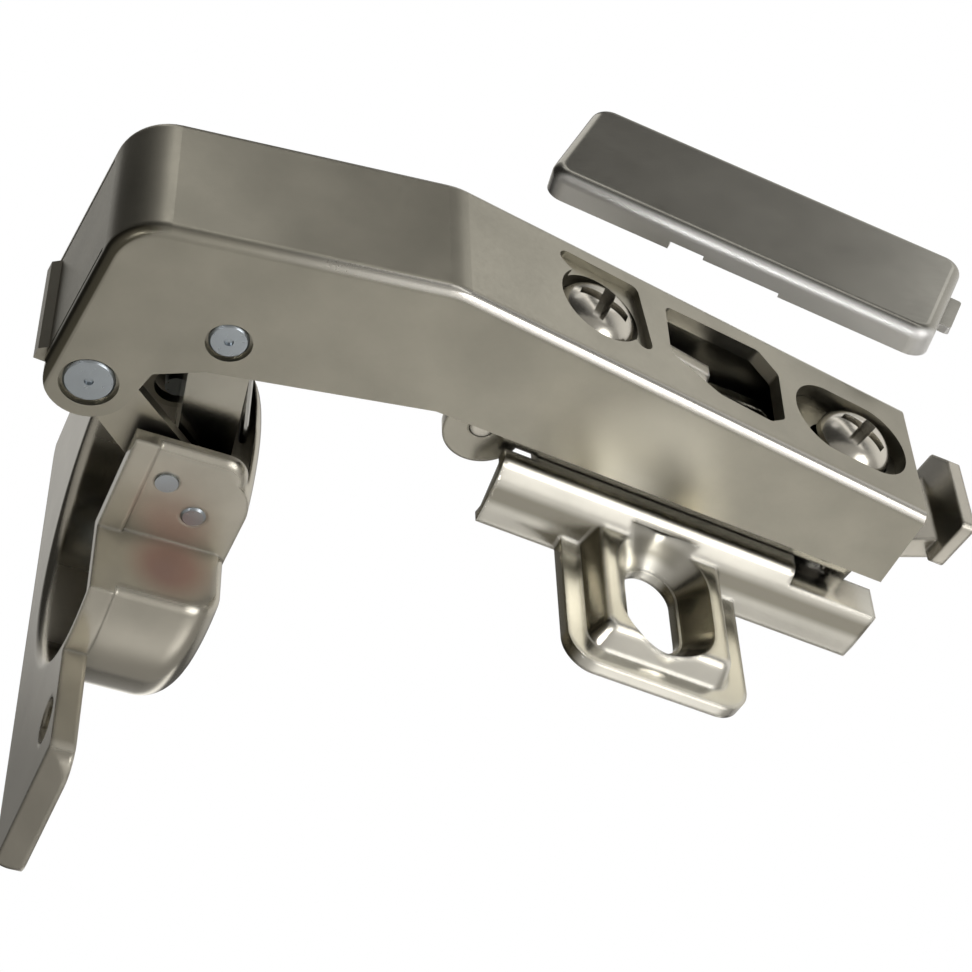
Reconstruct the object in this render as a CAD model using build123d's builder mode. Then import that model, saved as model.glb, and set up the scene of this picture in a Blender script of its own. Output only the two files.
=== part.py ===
from build123d import *
import math
import os

# Concealed cup hinge for a blind corner door, shown open, with its cover cap lifted off.
# The origin is midway between the plate's screw slots, on the panel face.
# x runs to the back of the arm, y towards the panel, z up along the hinge axis.
# Places below are given as x from the bend of the arm and height off the panel.

os.makedirs("parts", exist_ok=True)

# Mounting plate
HOLE_SPACING = 32.0
SLOT_X = 31.0
SLOT_WIDTH = 5.6
SLOT_LENGTH = 10.4
PLATE_SHEET = 1.2
RAIL_HALF_BASE = 10.6
RAIL_HALF_TOP = 8.3
RAIL_HEIGHT = 6.0
RAIL_REAR_HEIGHT = 4.6
RAIL_FRONT_X = 12.8
RAIL_STEP_X = 45.4
RAIL_REAR_X = 56.0
WING_HALF_SPAN = 25.6
WING_LENGTH = 19.4
PAD_HEIGHT = 3.8

# Arm
ARM_WIDTH = 16.2
ARM_SHEET = 1.5
BEND_HEIGHT = 21.6
REAR_HEIGHT = 17.6
REAR_X = 53.0
NOSE_X = -29.4
NOSE_HEIGHT = 15.4
ARM_EDGE_HEIGHT = 8.2
ARM_INSIDE = ARM_WIDTH / 2 - ARM_SHEET
CHANNEL_PLAY = 0.4

# Linkage pivots, as x and height, and in the cup as depth into the door and height over its mouth
OUTER_PIVOT = (-25.1, -2.9)
INNER_PIVOT = (-15.8, 7.0)
CUP_OUTER_PIN = (-12.9, -3.6)
CUP_INNER_PIN = (-9.6, -7.3)
OPEN_ANGLE = 94.9
RUNNING_GAP = 0.05
LOOSE_EYE_GAP = 1.05
OUTER_RIVET_RADIUS = 1.6
INNER_RIVET_RADIUS = 1.5
CUP_OUTER_PIN_RADIUS = 1.1
CUP_INNER_PIN_RADIUS = 1.2
LINK_SHEET = 1.2
LINK_PLAY = 0.25
INNER_LINK_PLAY = 0.55
EYE_WALL = 0.6
OUTER_HALF = ARM_INSIDE - LINK_PLAY
INNER_HALF = OUTER_HALF - LINK_SHEET - INNER_LINK_PLAY
INNER_SHEET = 1.4

# Cup
CUP_CENTRE = (-16.6, -23.8)
CUP_DIAMETER = 35.0
CUP_DEPTH = 12.0
CUP_WALL = 1.2
LUG_PLAY = 1.05
LUG_HALF_WIDTH = OUTER_HALF + LUG_PLAY + CUP_WALL
LUG_END = -17.3
LUG_DEPTH = 10.8
CREASE_X = -5.6
FLANGE_TOP = 0.8
FLANGE_HEIGHT = 2.4
FLANGE_HALF_LENGTH = 31.6
FLANGE_FAR = 21.6
EAR_NEAR = 2.6
CUP_SCREW_SPACING = 48.0
CUP_SCREW_OFFSET = 6.0
CUP_SCREW_HOLE = 4.6

# Adjuster channel inside the arm
CHANNEL_WIDTH = 2 * (ARM_INSIDE - CHANNEL_PLAY)
CHANNEL_SHEET = 1.4
CHANNEL_TOP = 13.4
CHANNEL_FOOT = 6.05
SCREW_HEAD = 8.0
SCREW_SHANK = 4.0
FRONT_SCREW_X = 15.5
REAR_SCREW_X = 46.2
WELL_DEPTH = 2.2
SEAT_GAP = 0.35
ARM_TRAVEL = 2.6

# Cover cap, taken off the arm and turned as photographed
CAP_LENGTH = 42.6
CAP_HEIGHT = 3.2
CAP_SHEET = 0.8
CAP_SEAT_X = 30.6
CAP_AWAY = (7.0, 2.0, 26.8)
CAP_TURN_AXIS = (0.0, 0.794, -0.608)
CAP_TURN = 30.6

# Sketch planes: SIDE shows x and height, ARM_TOP lies on the back of the arm
SIDE = Plane(origin=(-SLOT_X, 0, 0), x_dir=(1, 0, 0), z_dir=(0, 0, -1))
SLOPE = REAR_HEIGHT - BEND_HEIGHT
ARM_TOP = Plane(origin=(-SLOT_X, -BEND_HEIGHT, 0), x_dir=(REAR_X, -SLOPE, 0), z_dir=(-SLOPE, -REAR_X, 0))


def panel_plane(height):
    # A sketch plane parallel to the panel, at a height off it, facing the arm
    return Plane(origin=(-SLOT_X, -height, 0), x_dir=(1, 0, 0), z_dir=(0, -1, 0))


def section_plane(x):
    # A sketch plane across the arm: local x runs along z and local y along the height
    return Plane(origin=(x - SLOT_X, 0, 0), x_dir=(0, 0, 1), z_dir=(1, 0, 0))


def place(x, height, z):
    # A point in space from its x, its height off the panel and its z
    return Vector(x - SLOT_X, -height, z)


# The cup plane: local x into the door, local z out of the mouth
door_dir = (-math.cos(math.radians(OPEN_ANGLE)), math.sin(math.radians(OPEN_ANGLE)), 0)
mouth_dir = (-math.sin(math.radians(OPEN_ANGLE)), -math.cos(math.radians(OPEN_ANGLE)), 0)
CUP = Plane(origin=place(*CUP_CENTRE, 0), x_dir=door_dir, z_dir=mouth_dir)


def cup_point(depth, over):
    # A point of the cup's side view, as x and height
    x = CUP_CENTRE[0] + depth * door_dir[0] + over * mouth_dir[0]
    h = CUP_CENTRE[1] - depth * door_dir[1] - over * mouth_dir[1]
    return (x, h)


PIN_C = cup_point(*CUP_OUTER_PIN)
PIN_D = cup_point(*CUP_INNER_PIN)

# Mounting plate: a stamped cruciform with a hollow rail and a raised pad on each wing
RAIL_SHOULDER = 1.0


def rail_profile(height, sheet):
    # Half-section of the rail, mirrored: outside when sheet is 0, hollow when it is the plate's sheet
    half = [(RAIL_HALF_BASE + 0.4 - 1.1 * sheet, -sheet), (RAIL_HALF_BASE - 0.6 * sheet, 1.4 - 0.3 * sheet),
            (RAIL_HALF_TOP + RAIL_SHOULDER - 0.9 * sheet, height - 1.6 - 0.5 * sheet),
            (RAIL_HALF_TOP - 0.6 * sheet, height - sheet)]
    return half + [(-z, h) for z, h in reversed(half)]


with BuildPart() as mounting_plate:
    # Wings, with their raised pads
    with BuildSketch(panel_plane(0)) as wing_foot:
        with Locations((SLOT_X, 0)):
            RectangleRounded(WING_LENGTH, 2 * WING_HALF_SPAN, 3.2)
    extrude(amount=PLATE_SHEET + 0.2)
    with BuildSketch(panel_plane(0)) as wing_pad:
        with Locations((SLOT_X, 0)):
            RectangleRounded(WING_LENGTH - 3.0, 2 * WING_HALF_SPAN - 3.0, 2.6)
    extrude(amount=PAD_HEIGHT, taper=22)
    fillet(mounting_plate.faces().sort_by(Axis.Y)[0].edges(), radius=0.9)
    # Rail from its front to its rear end
    with BuildSketch(section_plane(RAIL_FRONT_X)) as rail_section:
        with BuildLine():
            Polyline(*rail_profile(RAIL_HEIGHT, 0), close=True)
        make_face()
        fillet(rail_section.vertices().group_by(Axis.Y)[-1], radius=1.3)
    extrude(amount=RAIL_REAR_X - RAIL_FRONT_X)
    # Step down at the rear of the rail
    with BuildSketch(section_plane(RAIL_STEP_X)):
        with Locations((0, RAIL_REAR_HEIGHT + 5)):
            Rectangle(4 * RAIL_HALF_BASE, 10)
    extrude(amount=RAIL_REAR_X, mode=Mode.SUBTRACT)
    # Hollow of the rail, open at both ends and lower behind the step
    for start, end, height in ((RAIL_FRONT_X - 1, RAIL_STEP_X - PLATE_SHEET, RAIL_HEIGHT),
                               (RAIL_STEP_X - PLATE_SHEET - 0.1, RAIL_REAR_X + 1, RAIL_REAR_HEIGHT)):
        with BuildSketch(section_plane(start)):
            with BuildLine():
                Polyline(*rail_profile(height, PLATE_SHEET), close=True)
            make_face()
        extrude(amount=end - start, mode=Mode.SUBTRACT)
    # Hollow under each pad
    with BuildSketch(panel_plane(-1)):
        with Locations((SLOT_X, 0)):
            RectangleRounded(WING_LENGTH - 5.4, 2 * WING_HALF_SPAN - 5.4, 1.6)
    extrude(amount=1 + PAD_HEIGHT - PLATE_SHEET, taper=20, mode=Mode.SUBTRACT)
    # Dished seat and slot for each wood screw
    for side in (1, -1):
        with BuildSketch(panel_plane(0)):
            with Locations((SLOT_X, side * HOLE_SPACING / 2)):
                SlotOverall(SLOT_LENGTH + 4.0, SLOT_WIDTH + 4.0, rotation=90)
        extrude(amount=PAD_HEIGHT - 1.0)
        with BuildSketch(panel_plane(PLATE_SHEET)):
            with Locations((SLOT_X, side * HOLE_SPACING / 2)):
                SlotOverall(SLOT_LENGTH + 0.6, SLOT_WIDTH + 0.6, rotation=90)
        extrude(amount=PAD_HEIGHT, taper=-38, mode=Mode.SUBTRACT)
        with BuildSketch(panel_plane(-1)):
            with Locations((SLOT_X, side * HOLE_SPACING / 2)):
                SlotOverall(SLOT_LENGTH, SLOT_WIDTH, rotation=90)
        extrude(amount=PAD_HEIGHT + 2, mode=Mode.SUBTRACT)
    # Slanted rear end of the rail
    with BuildSketch(SIDE):
        with BuildLine():
            Polyline((RAIL_REAR_X - 1.6, -1), (RAIL_REAR_X + 0.3, RAIL_HEIGHT + 1),
                     (RAIL_REAR_X + 2, RAIL_HEIGHT + 1), (RAIL_REAR_X + 2, -1), close=True)
        make_face()
    extrude(amount=30, both=True, mode=Mode.SUBTRACT)
    # Notches that leave the front hook tongue free
    with BuildSketch(panel_plane(1.6)):
        for side in (1, -1):
            with Locations((RAIL_FRONT_X + 1.5, side * 5.6)):
                Rectangle(4.2, 2.3)
    extrude(amount=RAIL_HEIGHT, mode=Mode.SUBTRACT)
    # Hook that holds the front pin of the channel
    with BuildSketch(SIDE):
        with BuildLine():
            Polyline((RAIL_FRONT_X + 3, RAIL_HEIGHT - PLATE_SHEET), (RAIL_FRONT_X - 1.0, RAIL_HEIGHT - PLATE_SHEET),
                     (RAIL_FRONT_X - 1.0, 8.3), (RAIL_FRONT_X - 4.6, 8.3), (RAIL_FRONT_X - 4.6, 9.4),
                     (RAIL_FRONT_X + 0.2, 9.4), (RAIL_FRONT_X + 0.2, RAIL_HEIGHT),
                     (RAIL_FRONT_X + 3, RAIL_HEIGHT), close=True)
        make_face()
    extrude(amount=4.2, both=True)
    # Window at the rear for the lever's hook
    with BuildSketch(panel_plane(1.6)):
        with Locations((RAIL_REAR_X - 2.4, 0)):
            Rectangle(7.6, 10.4)
    extrude(amount=RAIL_HEIGHT, mode=Mode.SUBTRACT)
mounting_plate.part.label = "mounting_plate"
export_step(mounting_plate.part, "parts/mounting_plate.step")

# Adjuster channel: the part that clips on the plate and carries the arm
CHANNEL_INSIDE = CHANNEL_WIDTH / 2 - CHANNEL_SHEET
HOOK_PIN = (9.9, 6.9)
HOOK_PIN_RADIUS = 1.2
LEVER_PIN = (48.6, 7.7)
LEVER_PIN_RADIUS = 1.0
NUT_THICKNESS = 1.6
NUT_TOP = CHANNEL_TOP - CHANNEL_SHEET - 0.1
NUT_AXIS = (REAR_SCREW_X, NUT_TOP - NUT_THICKNESS / 2)
NUT_TRUNNION = 0.75
CHANNEL_FRONT_X = 6.6
CHANNEL_REAR_X = 51.5
RIB_FRONT_X = 24.2
RIB_LENGTH = 6.6
RIB_HEIGHT = 16.9
with BuildPart() as adjuster_channel:
    with BuildSketch(SIDE):
        with BuildLine():
            Polyline((CHANNEL_FRONT_X, 9.4), (CHANNEL_FRONT_X + 1.8, CHANNEL_TOP), (CHANNEL_REAR_X, CHANNEL_TOP),
                     (CHANNEL_REAR_X, CHANNEL_FOOT), (CHANNEL_FRONT_X, CHANNEL_FOOT), close=True)
        make_face()
        with Locations((HOOK_PIN[0] + 0.3, HOOK_PIN[1] - 0.4)):
            Circle(3.8)
    extrude(amount=CHANNEL_WIDTH / 2, both=True)
    top_corners = [e for e in adjuster_channel.edges().filter_by(Axis.X) if e.center().Y < -CHANNEL_TOP + 0.1]
    fillet(top_corners, radius=1.0)
    with BuildSketch(SIDE):
        with Locations((SLOT_X, (CHANNEL_TOP - CHANNEL_SHEET) / 2)):
            Rectangle(80, CHANNEL_TOP - CHANNEL_SHEET)
    extrude(amount=CHANNEL_INSIDE, both=True, mode=Mode.SUBTRACT)
    # Three ribs on the raised ramp, seen through the middle opening of the arm
    with BuildSketch(SIDE):
        with BuildLine():
            Polyline((RIB_FRONT_X - 0.4, CHANNEL_TOP - 0.6), (RIB_FRONT_X + 0.5, RIB_HEIGHT - 1.1),
                     (RIB_FRONT_X + RIB_LENGTH - 0.4, RIB_HEIGHT - 1.6),
                     (RIB_FRONT_X + RIB_LENGTH + 0.6, CHANNEL_TOP - 0.6), close=True)
        make_face()
    extrude(amount=4.6, both=True)
    for rib in (-3.0, 0.0, 3.0):
        with BuildSketch(SIDE.offset(-rib)):
            with BuildLine():
                Polyline((RIB_FRONT_X, RIB_HEIGHT - 2), (RIB_FRONT_X + 0.8, RIB_HEIGHT),
                         (RIB_FRONT_X + RIB_LENGTH - 0.6, RIB_HEIGHT - 0.7),
                         (RIB_FRONT_X + RIB_LENGTH, RIB_HEIGHT - 2.4), close=True)
            make_face()
        extrude(amount=0.7, both=True)
    # Slot for the front screw, window under the arm's opening and hole for the lock screw
    with BuildSketch(panel_plane(CHANNEL_FOOT)):
        with Locations((FRONT_SCREW_X, 0)):
            SlotOverall(SCREW_SHANK + 2 * ARM_TRAVEL + 0.8, SCREW_SHANK + 0.8)
        with Locations((35.4, 0)):
            RectangleRounded(7.0, 8.4, 1.0)
        with Locations((REAR_SCREW_X, 0)):
            Circle(SCREW_SHANK / 2 + 0.5)
    extrude(amount=12, mode=Mode.SUBTRACT)
    with BuildSketch(SIDE):
        with Locations(HOOK_PIN):
            Circle(HOOK_PIN_RADIUS)
        with Locations(LEVER_PIN):
            Circle(LEVER_PIN_RADIUS)
        with Locations(NUT_AXIS):
            Circle(NUT_TRUNNION + RUNNING_GAP)
    extrude(amount=20, both=True, mode=Mode.SUBTRACT)
adjuster_channel.part.label = "adjuster_channel"
export_step(adjuster_channel.part, "parts/adjuster_channel.step")

with BuildPart() as front_hook_pin:
    with BuildSketch(SIDE):
        with Locations(HOOK_PIN):
            Circle(HOOK_PIN_RADIUS)
    extrude(amount=CHANNEL_WIDTH / 2 + 0.1, both=True)
    chamfer(front_hook_pin.edges(), length=0.2)
front_hook_pin.part.label = "front_hook_pin"
export_step(front_hook_pin.part, "parts/front_hook_pin.step")

with BuildPart() as lever_pin:
    with BuildSketch(SIDE):
        with Locations(LEVER_PIN):
            Circle(LEVER_PIN_RADIUS)
    extrude(amount=CHANNEL_WIDTH / 2 + 0.1, both=True)
    chamfer(lever_pin.edges(), length=0.2)
lever_pin.part.label = "lever_pin"
export_step(lever_pin.part, "parts/lever_pin.step")

# Release lever: two cheeks on the pin, a hook under the rail and an upturned thumb plate
LEVER_OUTSIDE = CHANNEL_INSIDE - 0.3
LEVER_SHEET = 1.2
LEVER_WEB_X = 55.0
THUMB_X = 58.2
with BuildPart() as release_lever:
    with BuildSketch(SIDE):
        with BuildLine():
            # Cheek from the pin up to the thumb plate, then down the web to the hook
            Polyline((LEVER_PIN[0] - 1.4, 9.2), (LEVER_PIN[0] + 2.8, 9.3), (LEVER_PIN[0] + 4.6, 10.2),
                     (THUMB_X, 13.0), (THUMB_X + LEVER_SHEET, 13.0), (THUMB_X + LEVER_SHEET, 10.8),
                     (THUMB_X - 3.6, 8.4), (LEVER_PIN[0] + 4.6, 7.4), (LEVER_PIN[0] + 4.3, 1.7),
                     (LEVER_PIN[0] + 0.3, 1.7), (LEVER_PIN[0] + 0.3, 2.9), (LEVER_PIN[0] + 2.6, 3.1),
                     (LEVER_PIN[0] + 2.6, 6.2), (LEVER_PIN[0], 6.2), (LEVER_PIN[0] - 1.6, 6.6), close=True)
        make_face()
    extrude(amount=LEVER_OUTSIDE, both=True)
    with BuildSketch(SIDE):
        with Locations((LEVER_WEB_X - 6.0, 3.3 + 6.0)):
            Rectangle(12.0, 12.0)
    extrude(amount=LEVER_OUTSIDE - LEVER_SHEET, both=True, mode=Mode.SUBTRACT)
    # Thumb plate, rounded at its free corners
    with BuildSketch(section_plane(THUMB_X)) as thumb_face:
        with BuildLine():
            Polyline((-6.1, 11.0), (-6.1, 17.0), (3.2, 17.0), (6.1, 15.0), (6.1, 11.0), close=True)
        make_face()
        fillet(thumb_face.vertices(), radius=0.7)
    extrude(amount=LEVER_SHEET + 0.2)
    with BuildSketch(SIDE):
        with Locations(LEVER_PIN):
            Circle(LEVER_PIN_RADIUS + RUNNING_GAP)
    extrude(amount=20, both=True, mode=Mode.SUBTRACT)
release_lever.part.label = "release_lever"
export_step(release_lever.part, "parts/release_lever.step")

# Spring of the lever: a small torsion coil round the lever pin
LEVER_WIRE = 0.35
LEVER_COIL = 1.65
LEVER_TURNS = 3.7
WIRE_FACETS = 8
with BuildPart() as lever_spring:
    coil_height = LEVER_TURNS * (2 * LEVER_WIRE + 0.2)
    with BuildLine(Plane(origin=place(*LEVER_PIN, -coil_height / 2))) as lever_coil:
        Helix(pitch=2 * LEVER_WIRE + 0.2, height=coil_height, radius=LEVER_COIL)
    with BuildSketch(Plane(origin=lever_coil.line @ 0, z_dir=lever_coil.line % 0)):
        RegularPolygon(radius=LEVER_WIRE, side_count=WIRE_FACETS)
    sweep(path=lever_coil.line)
    for end, run in ((0, (1.1, -3.7)), (1, (LEVER_WEB_X - LEVER_PIN[0] - 0.1, 0))):
        start = lever_coil.line @ end
        with BuildLine() as leg:
            Line(start, start + Vector(run[0], run[1], 0))
        with BuildSketch(Plane(origin=start, z_dir=leg.line % 0)):
            RegularPolygon(radius=LEVER_WIRE, side_count=WIRE_FACETS)
        sweep(path=leg.line)
lever_spring.part.label = "lever_spring"
export_step(lever_spring.part, "parts/lever_spring.step")

# Lock nut inside the channel, which takes the rear screw
with BuildPart() as lock_nut:
    with BuildSketch(panel_plane(NUT_TOP - NUT_THICKNESS)):
        with Locations((REAR_SCREW_X, 0)):
            RectangleRounded(7.6, 2 * CHANNEL_INSIDE - 0.6, 0.6)
    extrude(amount=NUT_THICKNESS)
    # Trunnions that it tilts on, in the channel's walls
    with BuildSketch(SIDE):
        with Locations(NUT_AXIS):
            Circle(NUT_TRUNNION)
    extrude(amount=CHANNEL_WIDTH / 2 - 0.1, both=True)
    with BuildSketch(panel_plane(0)):
        with Locations((REAR_SCREW_X, 0)):
            Circle(SCREW_SHANK / 2 + RUNNING_GAP)
    extrude(amount=CHANNEL_TOP, mode=Mode.SUBTRACT)
lock_nut.part.label = "lock_nut"
export_step(lock_nut.part, "parts/lock_nut.step")

# Arm: one pressed channel, with a sloping nose, a front flap and three openings on the back segment
LOBE_RADIUS = 4.1
ARM_END = (54.0, ARM_EDGE_HEIGHT)
FLAP_BOTTOM = -3.9
WELL_GAP = 0.5
SLOT_PLAY = 0.2
FRONT_SEAT = BEND_HEIGHT + SLOPE / REAR_X * FRONT_SCREW_X - WELL_DEPTH
REAR_SEAT = BEND_HEIGHT + SLOPE / REAR_X * REAR_SCREW_X - WELL_DEPTH
with BuildPart() as hinge_arm:
    with BuildSketch(SIDE) as arm_side:
        with BuildLine():
            Polyline((NOSE_X, OUTER_PIVOT[1]), (NOSE_X, NOSE_HEIGHT), (0, BEND_HEIGHT), (REAR_X, REAR_HEIGHT),
                     ARM_END, (4.4, ARM_EDGE_HEIGHT), (INNER_PIVOT[0] - 0.4, 3.0), (OUTER_PIVOT[0] + 4.7, 0.6),
                     (OUTER_PIVOT[0] + LOBE_RADIUS, OUTER_PIVOT[1]), close=True)
        make_face()
        fillet(arm_side.vertices().sort_by(Axis.X)[0:2].sort_by(Axis.Y)[-1], radius=5.2)
        bend = arm_side.vertices().sort_by(Axis.Y)[-1]
        fillet(bend, radius=7.0)
        with Locations(OUTER_PIVOT):
            Circle(LOBE_RADIUS)
    extrude(amount=ARM_WIDTH / 2, both=True)
    rims = [e for e in hinge_arm.edges() if abs(abs(e.center().Z) - ARM_WIDTH / 2) < 0.01]
    top_rims = [e for e in rims if e.center().Y < -13.0 and e.center().X < 50 - SLOT_X]
    nose_rims = [e for e in rims if -13.0 <= e.center().Y < -6.0 and e.center().X < NOSE_X + 0.9 - SLOT_X]
    fillet(top_rims + nose_rims, radius=1.1)
    # Inside of the channel
    with BuildSketch(SIDE) as arm_inside:
        with BuildLine():
            Polyline((NOSE_X + ARM_SHEET, -20), (NOSE_X + ARM_SHEET, NOSE_HEIGHT - ARM_SHEET),
                     (0, BEND_HEIGHT - ARM_SHEET), (REAR_X + 5, REAR_HEIGHT + SLOPE / REAR_X * 5 - ARM_SHEET),
                     (REAR_X + 5, -20), close=True)
        make_face()
        fillet(arm_inside.vertices().sort_by(Axis.X)[0:2].sort_by(Axis.Y)[-1], radius=3.8)
    extrude(amount=ARM_INSIDE, both=True, mode=Mode.SUBTRACT)
    # Front flap: free of the side walls and short of the lobes
    with BuildSketch(SIDE):
        with Locations((NOSE_X + 0.6, -12 + FLAP_BOTTOM + 2)):
            Rectangle(3.0, 20)
    extrude(amount=ARM_INSIDE, both=True, mode=Mode.SUBTRACT)
    for side in (1, -1):
        with BuildSketch(SIDE.offset(side * (ARM_INSIDE - 0.1))):
            with Locations((NOSE_X - 0.1, 0)):
                Rectangle(3.2, 21.0)
        extrude(amount=0.2, both=True, mode=Mode.SUBTRACT)
    with BuildSketch(SIDE):
        with BuildLine():
            Polyline((NOSE_X, FLAP_BOTTOM + 3.4), (NOSE_X, FLAP_BOTTOM + 1.8), (NOSE_X - 0.8, FLAP_BOTTOM + 1.2),
                     (NOSE_X - 0.8, FLAP_BOTTOM), (NOSE_X + 0.5, FLAP_BOTTOM), (NOSE_X + ARM_SHEET, FLAP_BOTTOM + 1.0),
                     (NOSE_X + ARM_SHEET, FLAP_BOTTOM + 3.4), close=True)
        make_face()
    extrude(amount=ARM_INSIDE - 0.3, both=True)
    # Pressed-down seats for the two screws, parallel to the panel so that the arm can slide under the heads
    for seat_x, length, top in ((FRONT_SCREW_X, 11.6, FRONT_SEAT), (REAR_SCREW_X - 0.6, 13.0, REAR_SEAT)):
        bottom = max(CHANNEL_TOP + SEAT_GAP, top - ARM_SHEET)
        with BuildSketch(panel_plane(bottom)):
            with Locations((seat_x, 0)):
                RectangleRounded(length, 2 * ARM_INSIDE - 0.4, 1.0)
        extrude(amount=top + WELL_DEPTH - ARM_SHEET + 0.3 - bottom)
    # Front pocket, a shallow triangle with the round screw well in it
    with BuildSketch(ARM_TOP) as front_pocket:
        with BuildLine():
            Polyline((FRONT_SCREW_X - 5.9, 5.9), (FRONT_SCREW_X + 4.5, 5.6), (FRONT_SCREW_X + 5.8, -4.6), close=True)
        make_face()
        fillet(front_pocket.vertices(), radius=0.9)
    extrude(amount=-0.8, mode=Mode.SUBTRACT)
    with BuildSketch(panel_plane(FRONT_SEAT)):
        with Locations((FRONT_SCREW_X, 0.2)):
            Circle(SCREW_HEAD / 2 + WELL_GAP)
    extrude(amount=6, mode=Mode.SUBTRACT)
    with BuildSketch(panel_plane(CHANNEL_TOP)):
        with Locations((FRONT_SCREW_X, 0)):
            Circle(SCREW_SHANK / 2 + RUNNING_GAP)
    extrude(amount=9, mode=Mode.SUBTRACT)
    # Middle opening over the ribs of the channel
    with BuildSketch(ARM_TOP) as middle_opening:
        with BuildLine():
            Polyline((23.2, 5.0), (34.4, 5.3), (36.6, 3.0), (36.4, -3.6), (34.6, -4.9), (28.6, -4.6), (23.2, -1.8),
                     close=True)
        make_face()
        fillet(middle_opening.vertices(), radius=0.8)
    extrude(amount=-ARM_SHEET - 0.5, mode=Mode.SUBTRACT)
    # Rear well, with the narrower slot of the lock screw in its floor
    with BuildSketch(panel_plane(REAR_SEAT)):
        with Locations((REAR_SCREW_X - 1.2, 0)):
            SlotOverall(SCREW_HEAD + 2 * ARM_TRAVEL + 0.4, SCREW_HEAD + 2 * WELL_GAP)
    extrude(amount=6, mode=Mode.SUBTRACT)
    with BuildSketch(panel_plane(CHANNEL_TOP)):
        with Locations((REAR_SCREW_X, 0)):
            SlotOverall(SCREW_SHANK + 2 * ARM_TRAVEL, SCREW_SHANK + 2 * SLOT_PLAY)
    extrude(amount=9, mode=Mode.SUBTRACT)
    # Rivet holes with dished seats for the heads
    for pivot, shank, head in ((OUTER_PIVOT, OUTER_RIVET_RADIUS, 2.75), (INNER_PIVOT, INNER_RIVET_RADIUS, 2.15)):
        with BuildSketch(SIDE):
            with Locations(pivot):
                Circle(shank)
        extrude(amount=20, both=True, mode=Mode.SUBTRACT)
        for side in (1, -1):
            with BuildSketch(SIDE.offset(side * (ARM_WIDTH / 2 - 0.6))):
                with Locations(pivot):
                    Circle(head)
            extrude(amount=side * 2, mode=Mode.SUBTRACT)
hinge_arm.part.label = "hinge_arm"
export_step(hinge_arm.part, "parts/hinge_arm.step")

# Pan-head screws with a cross recess: the front one adjusts the overlay, the rear one locks the depth
HEAD_HEIGHT = 2.8
SEAT_PLAY = 0.03
screws = (("side_adjust_screw", FRONT_SCREW_X, FRONT_SEAT + SEAT_PLAY, 10.6, 20),
          ("depth_lock_screw", REAR_SCREW_X, REAR_SEAT + SEAT_PLAY, 10.2, 35))
for name, screw_x, seat, shank_end, head_turn in screws:
    with BuildPart() as screw:
        with BuildSketch(section_plane(screw_x)):
            with BuildLine():
                Polyline((0, shank_end), (SCREW_SHANK / 2 - 0.3, shank_end), (SCREW_SHANK / 2, shank_end + 0.4),
                         (SCREW_SHANK / 2, seat), (SCREW_HEAD / 2 - 0.15, seat), (SCREW_HEAD / 2, seat + 0.3),
                         (SCREW_HEAD / 2, seat + 1.1))
                ThreePointArc((SCREW_HEAD / 2, seat + 1.1), (SCREW_HEAD / 2 * 0.72, seat + 2.25),
                              (0, seat + HEAD_HEIGHT))
                Line((0, seat + HEAD_HEIGHT), (0, shank_end))
            make_face()
        revolve(axis=Axis(place(screw_x, 0, 0), (0, 1, 0)))
        with BuildSketch(Plane(origin=place(screw_x, seat + HEAD_HEIGHT + 0.1, 0), x_dir=(1, 0, 0), z_dir=(0, 1, 0))):
            Rectangle(5.2, 1.25, rotation=head_turn)
            Rectangle(1.25, 5.2, rotation=head_turn)
        extrude(amount=1.9, taper=8, mode=Mode.SUBTRACT)
    screw.part.label = name
    export_step(screw.part, "parts/" + name + ".step")

# Inner link: a channel from the small rivet down to the deeper pin of the cup

def link_outline(start, end, start_radius, end_radius):
    # Two round ends joined by straight flanks, drawn on the side plane
    with BuildSketch(SIDE) as outline:
        with Locations(start):
            Circle(start_radius)
        with Locations(end):
            Circle(end_radius)
        make_hull()
    return outline.sketch


def link_cut(start, end, start_offset, end_offset, reach):
    # The space between the cheeks: everything on the open side of a line beside the link
    along = (Vector(*end) - Vector(*start)).normalized()
    across = Vector(-along.Y, along.X)
    corners = [Vector(*start) - along * 8 - across * start_offset, Vector(*end) + along * 8 - across * end_offset]
    corners += [corners[1] + across * reach, corners[0] + across * reach]
    return Polyline(*[(c.X, c.Y) for c in corners], close=True)


with BuildPart() as inner_link:
    add(link_outline(INNER_PIVOT, PIN_D, 2.9, 2.6))
    extrude(amount=INNER_HALF, both=True)
    # The web stays along the flank that faces the nose, the rest is two cheeks
    with BuildSketch(SIDE):
        with BuildLine():
            link_cut(INNER_PIVOT, PIN_D, 1.3, 1.3, 12)
        make_face()
    extrude(amount=INNER_HALF - INNER_SHEET, both=True, mode=Mode.SUBTRACT)
    for centre in (INNER_PIVOT, PIN_D):
        with BuildSketch(SIDE):
            with Locations(centre):
                Circle(3.6)
        extrude(amount=INNER_HALF - INNER_SHEET, both=True, mode=Mode.SUBTRACT)
    with BuildSketch(SIDE):
        with Locations(INNER_PIVOT):
            Circle(INNER_RIVET_RADIUS + RUNNING_GAP)
        with Locations(PIN_D):
            Circle(CUP_INNER_PIN_RADIUS + RUNNING_GAP)
    extrude(amount=20, both=True, mode=Mode.SUBTRACT)
inner_link.part.label = "inner_link"
export_step(inner_link.part, "parts/inner_link.step")

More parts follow.
